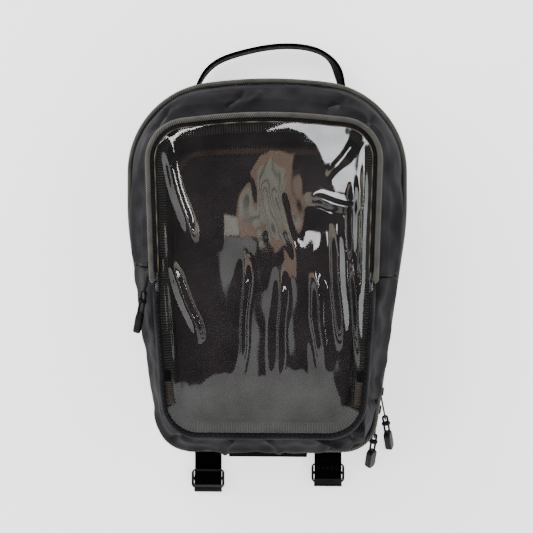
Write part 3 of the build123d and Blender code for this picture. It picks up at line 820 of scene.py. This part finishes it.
def zip_half(which, side, body):
    """One half of a zip: its tape, and a row of nylon teeth that reach towards the other half."""
    name = f"{which}_{side}"
    tape, coil = f"{which}_tape_{side}", f"{which}_coil_{side}"
    line = stretch([tape], middle_z(tape), 420)
    made = wall(f"{name}_tape", line, low(tape)[2], high(tape)[2], 0.8 * MM, TAPE, closed=False)
    dress(made, body, "zip_tape", tape)
    chain = stretch([coil], middle_z(coil), 420)
    count = int(lengths(np.diff(chain, axis=0)).sum() / TOOTH_PITCH)
    spots = resample(offset(chain, -TOOTH_R, False), count)
    spots = spots[:-1] if side == "lower" else (spots[:-1] + spots[1:]) / 2
    heights = np.linspace(low(coil)[2], high(coil)[2], 3)
    teeth = [np.column_stack([np.tile(spot, (3, 1)), heights]) for spot in spots]
    dress(many(f"{name}_teeth", teeth, COIL, sides=5, radius=TOOTH_R), body, "zip_coil", coil)


for which, below, above in (("main_zip", "base", "lid"), ("pocket_zip", "lid", "pocket_cover")):
    zip_half(which, "lower", below)
    zip_half(which, "upper", above)

# Window box ------------------------------

window_cord = level_run("pocket_piping_cord", cover_line, pocket_piping_r, pocket_piping_z,
                        circle(pocket_piping_r), PIPING)
dress(window_cord, "pocket_cover", "piping", "pocket_piping")

flat_sheet("pocket_deck", "pocket_back_panel", "lid", "lining_fabric", PANEL)

for name, node, body in (("pocket_wall", "pocket_wall_lower", "lid"),
                         ("pocket_frame_wall", "pocket_frame", "pocket_cover")):
    line = stretch([node], middle_z(node), 300)
    side_wall = wall(name, line, low(node)[2], high(node)[2], 1.4 * MM, LINING, closed=False)
    dress(side_wall, body, "lining_fabric", node)

# How far the hem's fold reaches over the film, in mm.
HEM_REACH = 4.6


def window_hem():
    """The hem round the lower window: up the film's side and over its edge, lower towards its ends."""
    line = stretch(["window_hem"], middle_z("window_hem"), 260)
    base, top = low("window_hem")[2], film_top - deck_top
    inside = high("window_hem")[2] - base
    tall = top / MM
    outer = [(1.0, 0.2), (0.9, tall - 5), (0.2, tall - 2), (-1.2, tall - 0.2), (-2.8, tall + 0.9),
             (-HEM_REACH, tall + 0.8)]
    inner = [(-HEM_REACH, tall + 0.2), (-2.0, tall + 0.1), (-1.2, tall - 2.2), (-1.3, 0.2)]
    profile = np.array(outer + inner) * MM
    lowered = inside / top + (1 - inside / top) * smooth(-line[:, 1], -fold_y + 1 * MM, -fold_y + 12 * MM)
    profiles = np.stack([profile * [1, share] for share in lowered])
    made = swept("window_hem_fold", at_height(line, base), profiles, TWILL)
    dress(made, "lid", "shell_fabric", "window_hem")
    stitch_rows("window_hem_stitches", "lid", line[lowered > 0.98], [(-3.4 * MM, film_top + 1.0 * MM)])


window_hem()


def band_strip():
    """The ribbed band round the pocket's floor."""
    node = "retaining_band"
    outer = section([node], middle_z(node), 420)
    across = np.linspace(0.3 * MM, 8.6 * MM, 9)
    top = high(node)[2] - 0.3 * MM * (np.abs(across / across.mean() - 1) > 0.95)
    grid = np.stack([at_height(offset(outer, -d), z) for d, z in zip(across, top)], axis=1)
    made = grid_piece("ribbed_band", grid, GROSGRAIN, wrap_u=True)
    dress(made, "lid", "grosgrain", node)
    places = [(-d, high(node)[2] + 0.1 * MM) for d in (1.6 * MM, 7.4 * MM)]
    stitch_rows("ribbed_band_stitches", "lid", outer, places, closed=True)


band_strip()


def tube(path, radius, mouth_cut):
    """The grid of a squashed tube of soft cloth. Its upper half is cut back by mouth_cut at its far end."""
    rings = np.tile(np.array(circle(radius, 24)) * [1.12, 0.92], (len(path), 1, 1))
    grid = path[:, None] + rings[..., :1] * np.array([1.0, 0, 0]) + rings[..., 1:] * UP
    far = smooth(path[:, 1], path[-1, 1] - 10 * MM, path[-1, 1])[:, None]
    grid[..., 1] -= mouth_cut * far * smooth(rings[..., 1], -2 * MM, 2.4 * MM)
    crumple = 0.35 * MM * ripple(grid.reshape(-1, 3), 7 * MM, 4.4).reshape(grid.shape[:2])
    return grid + crumple[..., None] * UP


def fabric_sleeve(name, node):
    """A short open sleeve of ribbed cloth with a near-black inner tube, painted shade seen in its slanting
    mouth.
    """
    middle = (low(node) + high(node)) / 2
    lean = np.sign(middle[0]) * (np.ptp([low(node)[0], high(node)[0]]) / 2 - 3.6 * MM)
    start = np.array([middle[0] - lean, low(node)[1], middle[2]])
    end = np.array([middle[0] + lean, high(node)[1], middle[2]])
    path = resample(np.array([start, end]), 30)
    outer = grid_piece(name, tube(path, 3.6 * MM, 10 * MM), SLEEVE, wrap_v=True)
    dress(outer, "lid", "grosgrain", node)
    # The inner tube is near-black webbing: painted shade inside the sleeve's mouth.
    inner = grid_piece(f"{name}_lining", tube(path, 3.0 * MM, 9 * MM), WEBBING, wrap_v=True)
    dress(inner, "lid", "grosgrain")


fabric_sleeve("sleeve_left", "gusset_sleeve_left")
fabric_sleeve("sleeve_right", "gusset_sleeve_right")


def lid_lining_cloth():
    """The lining inside the lid's gusset, a little slack."""
    node = "lid_lining"
    heights = np.linspace(low(node)[2] + 0.2 * MM, high(node)[2] - 0.2 * MM, 16)
    rows = [at_height(section([node], z, 240), z) for z in heights]
    grid = np.stack(rows, axis=1)
    loose = 0.2 * MM + 0.8 * MM * np.abs(ripple(grid.reshape(-1, 3), 30 * MM, 8.0)).reshape(grid.shape[:2])
    inward = np.stack([outward(row) for row in rows], axis=1)
    made = grid_piece("lid_lining_cloth", grid - loose[..., None] * inward, LINING, wrap_u=True)
    dress(made, "lid", "lining_fabric", node)


lid_lining_cloth()


def pad_relief(flat):
    """The pad is softly filled and pulled down along its stitched edge."""
    inside = 1 - np.max(np.abs(flat - flat.mean(0)) / (np.ptp(flat, axis=0) / 2), axis=1)
    filled = 1.6 * MM * smooth(inside, 0.0, 0.16)
    return filled + 0.5 * MM * ripple(at_height(flat, 0), 40 * MM, 2.0)


pad_top = high("panel_pad")[2]
pad = plate("panel_pad_cover", coons(pad_loop, 90, 130, SHEET_CORNERS), deck_top, pad_top - 1.4 * MM, PANEL,
            pad_relief)
dress(pad, "lid", "foam", "panel_pad")
stitch_rows("panel_pad_stitches", "lid", pad_loop,
            [(-2.2 * MM, pad_top - 1.1 * MM), (-5.4 * MM, pad_top - 0.6 * MM)], closed=True)


def pad_band():
    """The brown band sewn across the far end of the pad, with a row of stitches along each edge."""
    far = high("panel_pad")[1]
    line = offset(arc_beyond(pad_loop, lambda x, y: y > far - 26 * MM, 160), -6 * MM, False)
    top = pad_top + 0.2 * MM
    dress(level_run("pad_band", line, 0, top, slab(7 * MM, 0.6 * MM), PAD_BAND), "lid", "foam")
    places = [(away, top + 0.4 * MM) for away in (-2.6 * MM, 2.6 * MM)]
    stitch_rows("pad_band_stitches", "lid", line, places, radius=0.6 * MM)


pad_band()


# Folds of the film: start, end, half width and height, in mm.
FILM_FOLDS = [
    ((-82, 96), (-60, 24), 4.5, 0.9),
    ((-78, 2), (-53, -60), 4.0, 0.8),
    ((-86, 60), (-76, -90), 2.2, 0.35),
    ((54, 74), (78, 104), 3.2, 0.3),
    ((40, 56), (80, 44), 4.0, 0.5),
    ((74, 66), (73, 8), 3.2, 0.7),
    ((84, 84), (80, -40), 2.6, 0.7),
    ((60, 30), (66, -60), 4.0, 0.7),
    ((74, 0), (84, -100), 3.0, 0.6),
    ((-16, 4), (-22, -88), 4.5, 0.45),
    ((14, -8), (10, -96), 4.5, 0.4),
    ((44, -10), (50, -80), 4.5, 0.5),
    ((-6, 70), (6, 20), 5.0, 0.08),
    ((12, 60), (28, 4), 4.0, 0.12),
]


def film_relief(flat):
    """Waves, folds and small ripples of the loose film, all dying out towards its edge."""
    points = at_height(flat, 0)
    height = 0.12 * MM * ripple(points * [1, 0.6, 1], 44 * MM, 4.0)
    height += 0.025 * MM * ripple(points * [1.6, 0.7, 1], 17 * MM, 9.0)
    for start, end, width, rise in FILM_FOLDS:
        height += soft_fold(flat, start, end, width, rise)
    calm = smooth(flat[:, 1], -128 * MM, -98 * MM)
    return height * (0.25 + 0.75 * calm)


def window_film():
    """The clear film: its top, a rounded edge and, below the fold, its side walls, as one sheet."""
    radius = 2.6 * MM
    face_z = film_top - 0.3 * MM
    top = coons(offset(window_loop, -radius), 150, 220, SHEET_CORNERS)
    flat = top.reshape(-1, 2)
    index = np.arange(len(flat)).reshape(top.shape[:2])
    before = border(index)
    rim = flat[before]
    nearest = np.min(np.linalg.norm(flat[:, None] - rim[None, ::4], axis=2), axis=1)
    vertices = np.column_stack([flat, face_z + film_relief(flat) * smooth(nearest, 0, 14 * MM)])
    faces = quads(index)
    out = offset(rim, 1.0) - rim
    cover = smooth(rim[:, 1], fold_y - 2 * MM, fold_y + 2 * MM)[:, None]
    drop = face_z - deck_top
    steps = [(radius * sin(a), radius * (1 - cos(a))) for a in (pi / 8, pi / 4, 3 * pi / 8, pi / 2)]
    steps += [(radius, radius + (drop - radius) * k / 4) for k in range(1, 5)]
    for k, (away, down) in enumerate(steps, 1):
        walled = at_height(rim + out * away, face_z - down)
        tuck = min(away, 0.9 * radius * k / len(steps) + 0.2 * MM)
        tucked = at_height(rim + out * tuck, face_z - 0.05 * MM * k)
        now = np.arange(len(vertices), len(vertices) + len(rim))
        vertices = np.vstack([vertices, walled * (1 - cover) + tucked * cover])
        strip = np.column_stack([np.roll(before, -1), before, now, np.roll(now, -1)])
        faces += [tuple(face) for face in strip.tolist()]
        before = now
    return piece("clear_window_film", vertices, faces, FILM)


film = window_film()
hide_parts("window_film_lower", "window_film_upper")
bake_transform(film)

film_line = cover_line[4:-4]
flange = level_run("film_flange", film_line, -1.5 * MM, film_top + 0.3 * MM, slab(3.4 * MM, 0.6 * MM), TWILL)
dress(flange, "pocket_cover", "shell_fabric")
# A light-brown strand along the film's edge: the welded edge's brownish tone, with painted highlight along
# it.
bead = level_run("film_edge_bead", film_line, -3.5 * MM, film_top + 0.45 * MM, circle(0.4 * MM, 8), FILM_EDGE_TONE_AND_HIGHLIGHT)
dress(bead, "pocket_cover", "film")
stitch_rows("film_flange_stitches", "pocket_cover", film_line, [(-1.7 * MM, film_top + 0.8 * MM)])

# Straps, buckles and handle ------------------------------

WEBBING_THICK = 1.8 * MM


def strap(name, over):
    """A strap from its patch to the buckle, round the buckle's bar and back on itself.

    over is 1 where the strap passes above the buckle's rail and -1 where it passes below.
    """
    node = f"strap_{name}"
    _, hinge_y, hinge_z = JOINTS[f"{node}_flop"]["pos_m"]
    _, bar_y, bar_z = JOINTS[f"buckle_{name}_turn"]["pos_m"]
    turn, loop = 2.5 * MM, 4.2 * MM
    run_z = bar_z + over * turn
    bend_z = run_z + (over + 0.6) * MM
    route = [(hinge_y + 0.2 * MM, hinge_z), (hinge_y - 3 * MM, (2 * hinge_z + bend_z) / 3),
             (hinge_y - 11.4 * MM, bend_z), (bar_y + 8 * MM, run_z)]
    route += [(bar_y - loop * sin(a), bar_z + over * turn * cos(a)) for a in np.linspace(0, pi, 14)]
    route += [(bar_y + 3 * MM, bar_z - over * 1.3 * MM), (bar_y + 6.2 * MM, run_z - over * 1.9 * MM)]
    middle = (low(node)[0] + high(node)[0]) / 2
    path = resample(np.array([(middle, y, z) for y, z in route]), 90)
    width = high(node)[0] - low(node)[0]
    made = swept(f"{node}_webbing", path, slab(width, WEBBING_THICK, 0.5 * MM), WEBBING, across=(1, 0, 0))
    dress(made, node, "webbing", node)
    face_z = run_z + WEBBING_THICK * (0.55 if over > 0 else 1.6)
    rows = [np.array([(middle - 0.42 * width, bar_y + d, face_z), (middle + 0.42 * width, bar_y + d, face_z)])
            for d in (4.2 * MM, 5.8 * MM)]
    stitched(f"{node}_stitches", node, rows)


strap("left", -1)
strap("right", 1)


def strap_patch(number, side, nodes):
    """A strap's patch, sewn to the wall with a box and a cross."""
    first = np.array([low(f"strap_{side}")[0], *low("strap_patches")[1:]])
    last = np.array([high(f"strap_{side}")[0], *high("strap_patches")[1:]])
    middle, size = (first + last) / 2, last - first
    path = np.array([[x, *middle[1:]] for x in np.linspace(first[0], last[0], 24)])
    made = swept(f"strap_patch_{number}", path, slab(size[1], size[2], 0.4 * MM), TWILL)
    dress(made, "base", "shell_fabric", *nodes)
    face = (middle[0], first[1] - 0.1 * MM, middle[2])
    lines = box_stitch(face, (1, 0, 0), UP, size[0] - 3 * MM, size[2] - 2.4 * MM)
    stitched(f"strap_patch_stitches_{number}", "base", lines, np.array([0, -1.0, 0]))


strap_patch(1, "left", ["strap_patches"])
strap_patch(2, "right", [])


def handle_patch(name, x_from, x_to, nodes):
    """A patch over a root of the handle, sewn to the wall with a box and a cross."""
    node = "handle_patches"
    far_half = body_loop[:, 1] > 0
    near = far_half & (body_loop[:, 0] > x_from) & (body_loop[:, 0] < x_to)
    thick = 1.6 * MM
    line = offset(body_loop[near], thick, False)
    made = wall(name, line, low(node)[2], high(node)[2], thick, TWILL, closed=False)
    dress(made, "base", "shell_fabric", *nodes)
    middle = at_height(line, middle_z(node)).mean(0)
    way = outward(at_height(line, 0), False).mean(0)
    along = np.array([-way[1], way[0], 0])
    lines = box_stitch(middle + way * 0.2 * MM, along, UP, x_to - x_from - 4 * MM, 8.4 * MM)
    stitched(f"{name}_stitches", "base", lines, way)


patch_width = 15.0 * MM
patch_low, patch_high = low("handle_patches")[0], high("handle_patches")[0]
handle_patch("handle_patch_left", patch_low, patch_low + patch_width, ["handle_patches"])
handle_patch("handle_patch_right", patch_high - patch_width, patch_high, [])


def handle_line(count):
    """The middle of the handle's arch from above, from its left root to its right one."""
    pivot = Vector(JOINTS["handle_lift"]["pos_m"])
    tree = search_tree(["handle"])
    points = []
    for turn in np.linspace(pi - 0.02, 0.02, 181):
        way = Vector((cos(turn), sin(turn), 0))
        inner = tree.ray_cast(pivot, way)[0]
        outer = tree.ray_cast(pivot + way * 0.3, -way)[0]
        points.append((inner + outer) / 2)
    first, last = points[0], points[-1]
    root_y = low("handle")[1] + 0.8 * MM
    points = [Vector((first.x, root_y, first.z))] + points + [Vector((last.x, root_y, last.z))]
    line = resample(np.array([p[:] for p in points]), count)
    for _ in range(count * 2):
        line[1:-1] = (line[:-2] + 2 * line[1:-1] + line[2:]) / 4
    return line


def handle_webbing():
    """The carry handle: folded webbing on edge that leans a little, more so at its right root."""
    path = handle_line(160)
    share = np.linspace(0, 1, len(path))
    root = np.minimum(share, 1 - share) * 2
    width = 5 * MM + 4 * MM * smooth(root, 0, 0.05) + 7 * MM * smooth(root, 0, 0.25)
    thick = 2.4 * MM
    lean = radians(26) * smooth(share, 0.76, 0.97)
    unit = np.array(slab(1.0, thick, 0.5 * MM))
    profile = np.stack([np.column_stack([unit[:, 1], unit[:, 0] * w]) for w in width])
    made = swept("handle_webbing", path, profile, WEBBING, twist=lean)
    dress(made, "handle", "webbing", "handle")
    side, rise = frames(path)
    turned = np.cos(lean)[:, None] * rise - np.sin(lean)[:, None] * side
    facing = np.cos(lean)[:, None] * side + np.sin(lean)[:, None] * rise
    to_row = turned * (width / 2 - 1.8 * MM)[:, None]
    lines = [(path + sign * to_row + facing * thick / 2)[8:-8] for sign in (-1, 1)]
    stitched("handle_stitches", "handle", lines, [facing[8:-8]] * 2)


handle_webbing()

# Zip pulls ------------------------------


CORD_R = 1.0 * MM
STRAND_SPREAD = 1.95 * MM
KNOT_WIRE_R = 0.8 * MM


def pull_cord(which):
    """The cord folded through a pull tab's hole, with both strands running into the toggle."""
    hole = np.array(JOINTS[f"{which}_toggle_lift"]["pos_m"])
    spread = np.array(JOINTS[f"{which}_toggle_lift"]["axis"])
    toggle = f"{which}_pull_toggle"
    hang = (low(toggle) + high(toggle)) / 2 - hole
    reach = np.linalg.norm(hang)
    hang /= reach
    around = np.cross(spread, hang)
    aside = spread * STRAND_SPREAD
    bend = [hole + aside * cos(a) - hang * 0.55 * STRAND_SPREAD * sin(a) for a in np.linspace(0, pi, 14)]
    ends = reach - 6 * MM
    path = [hole + aside + hang * ends] + bend + [hole - aside + hang * ends]
    line = resample(np.array(path), 70)
    made = swept(f"{which}_cord_loop", line, circle(CORD_R, 12), BRAID, up=around)
    dress(made, f"{which}_toggle", "cord", f"{which}_pull_cord")
    turns = np.linspace(0, 4 * pi, 60)[:, None]
    centre = hole + hang * (0.35 * ends + 1.4 * MM * (turns / (2 * pi) - 1))
    coil = centre + spread * 3.1 * MM * np.cos(turns) + around * 1.9 * MM * np.sin(turns)
    knot = swept(f"{which}_cord_knot", coil, circle(KNOT_WIRE_R, 10), BRAID, up=hang)
    dress(knot, f"{which}_toggle", "cord")


for which in ("main_end", "main_top", "pocket"):
    pull_cord(which)
    finish_cad(METAL, f"{which}_slider", f"{which}_pull_tab")
    finish_cad(RUBBER, f"{which}_pull_toggle")
finish_cad(PLASTIC, "buckle_left", "buckle_right")

# Camera, floor and light ------------------------------


# Each lamp: name, place, width, depth and glow. All of them point at the bag.
LAMPS = [
    ("side_left", (-2.0, 0.3, 1.2), 2.4, 2.0, 3.2),
    ("side_right", (2.0, 0.4, 1.2), 2.4, 2.0, 2.3),
    ("far_end", (-1.3, 2.0, 1.2), 2.2, 1.8, 7.4),
    ("near_end", (1.2, -2.0, 1.2), 2.2, 1.8, 3.4),
]

CAMERA = np.array([0.04, -0.001, 1.004])

# Pale cards above the bag that the clear film mirrors: name, glow, colour, and the corners of the
# patch that each makes on a flat film, in mm.
CARD_Z = 1.8
CARDS = [
    ("window_card", 8, (0.93, 0.96, 1),
     [(3, 115), (20, 112), (32, 106), (39, 100), (46, 87), (52, 66), (62, 58), (84, 56), (78, 80),
      (90, 106), (63, 119), (35, 119)]),
    ("corner_card", 12, (1, 1, 1), [(-90, 103), (-60, 110), (-34, 115), (-34, 116), (-60, 112), (-90, 106)]),
    ("low_card", 0.85, (0.97, 1, 0.98),
     [(-100, -160), (100, -160), (80, -122), (64, -112), (60, -84), (56, -20), (46, -16), (40, -90),
      (26, -84), (24, -10), (10, -6), (6, -88), (-6, -92), (-10, -4), (-19, -8), (-36, -1), (-40, 13),
      (-37, 25), (-18, 25), (-4, 18), (-11, -13), (-28, -86), (-60, -98), (-70, -94), (-74, -114),
      (-88, -124)]),
    ("olive_card", 1.7, (0.86, 0.84, 0.70),
     [(4, 82), (12, 88), (20, 74), (24, 50), (33, 38), (28, 20), (26, 2), (17, 10), (9, 22), (2, 12),
      (-6, 28), (-17, 38), (-17, 54), (-9, 70)]),
    ("pale_card", 2.2, (0.86, 0.84, 0.72),
     [(-34, 42), (-21, 39), (-17, 26), (-27, 26), (-38, 22), (-35, 35)]),
    ("left_spot", 8, (1, 1, 1), [(42, 14), (49, 16), (50, 27), (42, 26)]),
    ("middle_spot", 8, (1, 1, 1), [(70, 12), (77, 14), (76, 22), (69, 20)]),
    ("right_spot", 9, (1, 1, 1), [(74, -16), (79, -12), (80, 0), (74, -3)]),
    ("tan_card", 1.3, (1, 0.72, 0.54),
     [(-1, 89), (9, 93), (24, 92), (24, 80), (26, 61), (35, 35), (32, 6), (26, -10), (18, -7), (11, 15),
      (4, 9), (-2, 23), (-16, 24), (-21, 41), (-20, 52), (-13, 67), (-7, 78)]),
    ("right_card", 2.4, (0.95, 0.98, 1), [(160, -240), (280, -240), (280, 180), (160, 180)]),
    ("left_card", 1.2, (1, 1, 1), [(-280, -240), (-160, -240), (-160, 180), (-280, 180)]),
]
CARD_STEP = 2 * MM


def mirrored(corners, z):
    """Where a card stands, above the bag, for a flat film to show it to the camera at the given corners."""
    rise = (z - film_top) / (CAMERA[2] - film_top)
    flat = np.array(corners) * MM
    return at_height(flat + (flat - CAMERA[:2]) * rise, z)


def glowing(name, glow, colour, lined):
    """A soft uneven glow, with dark wandering lines if it is lined."""
    made, shader, where = start_material(name, Roughness=1.0, Base_Color=(0, 0, 0, 1), Emission_Strength=glow)
    dimmer = tuple(0.82 * c for c in colour)
    shade = between(blotches(where["Object"], 0.12), dimmer, colour)
    if lined:
        lines = spread(waves(where["Object"], 0.022, 12, 1.6), 0.0, 1.0, 0.02, 0.3)
        shade = between(lines, (0.3, 0.29, 0.25), shade)
    made.node_tree.links.new(shade, shader.inputs["Emission Color"])
    return made


def backdrop(name, reach, z, facing, patch, dark, light, **values):
    """A level square of the stage that faces up (1) or down (-1), in blotches of two colours."""
    made, shader, where = start_material(name, **values)
    colour = between(blotches(where["Object"], patch), dark, light)
    made.node_tree.links.new(colour, shader.inputs["Base Color"])
    corners = [(-reach, -reach, z), (reach, -reach, z), (reach, reach, z), (-reach, reach, z)]
    piece(name, corners[::facing], [(0, 1, 2, 3)], made)


def staged(name, data, place, turn):
    """A lamp or a camera at its place, turned by an Euler angle."""
    holder = bpy.data.objects.new(name, data)
    holder.location = place
    holder.rotation_euler = turn
    bpy.context.scene.collection.objects.link(holder)
    return holder


def set_stage():
    """A pale floor, a dark ceiling, lamps that the film doesn't mirror, cards that it does, and a camera."""
    backdrop("floor", 6, 0, 1, 0.4, (0.84, 0.84, 0.845), (0.88, 0.88, 0.88), Roughness=0.9,
             Emission_Strength=1.3, Emission_Color=(1, 1, 1, 1))
    backdrop("ceiling", 1.6, 2.3, -1, 0.3, (0.01, 0.01, 0.01), (0.03, 0.03, 0.03), Roughness=1.0)
    world = bpy.data.worlds.new("studio")
    world.use_nodes = True
    sky = world.node_tree.nodes["Background"].inputs
    sky["Color"].default_value = (0.9, 0.92, 0.95, 1)
    sky["Strength"].default_value = 0.6
    bpy.context.scene.world = world
    for name, place, width, depth, glow in LAMPS:
        lamp = bpy.data.lights.new(name, "AREA")
        lamp.shape = "RECTANGLE"
        lamp.size = width
        lamp.size_y = depth
        lamp.energy = glow * pi * width * depth
        holder = staged(name, lamp, place, (-Vector(place)).to_track_quat("-Z", "Y").to_euler())
        holder.visible_glossy = False
    for number, (name, glow, colour, corners) in enumerate(CARDS):
        spots = mirrored(corners[::-1], CARD_Z + number * CARD_STEP)
        shine = glowing(name, glow, colour, lined=name == "olive_card")
        piece(name, spots, [tuple(range(len(spots)))], shine)
    camera = bpy.data.cameras.new("camera")
    camera.lens = 74.3
    camera.sensor_width = 36
    tilt = (0, atan2(CAMERA[0], CAMERA[2] - piping_z), 0)
    bpy.context.scene.camera = staged("camera", camera, CAMERA, tilt)


set_stage()
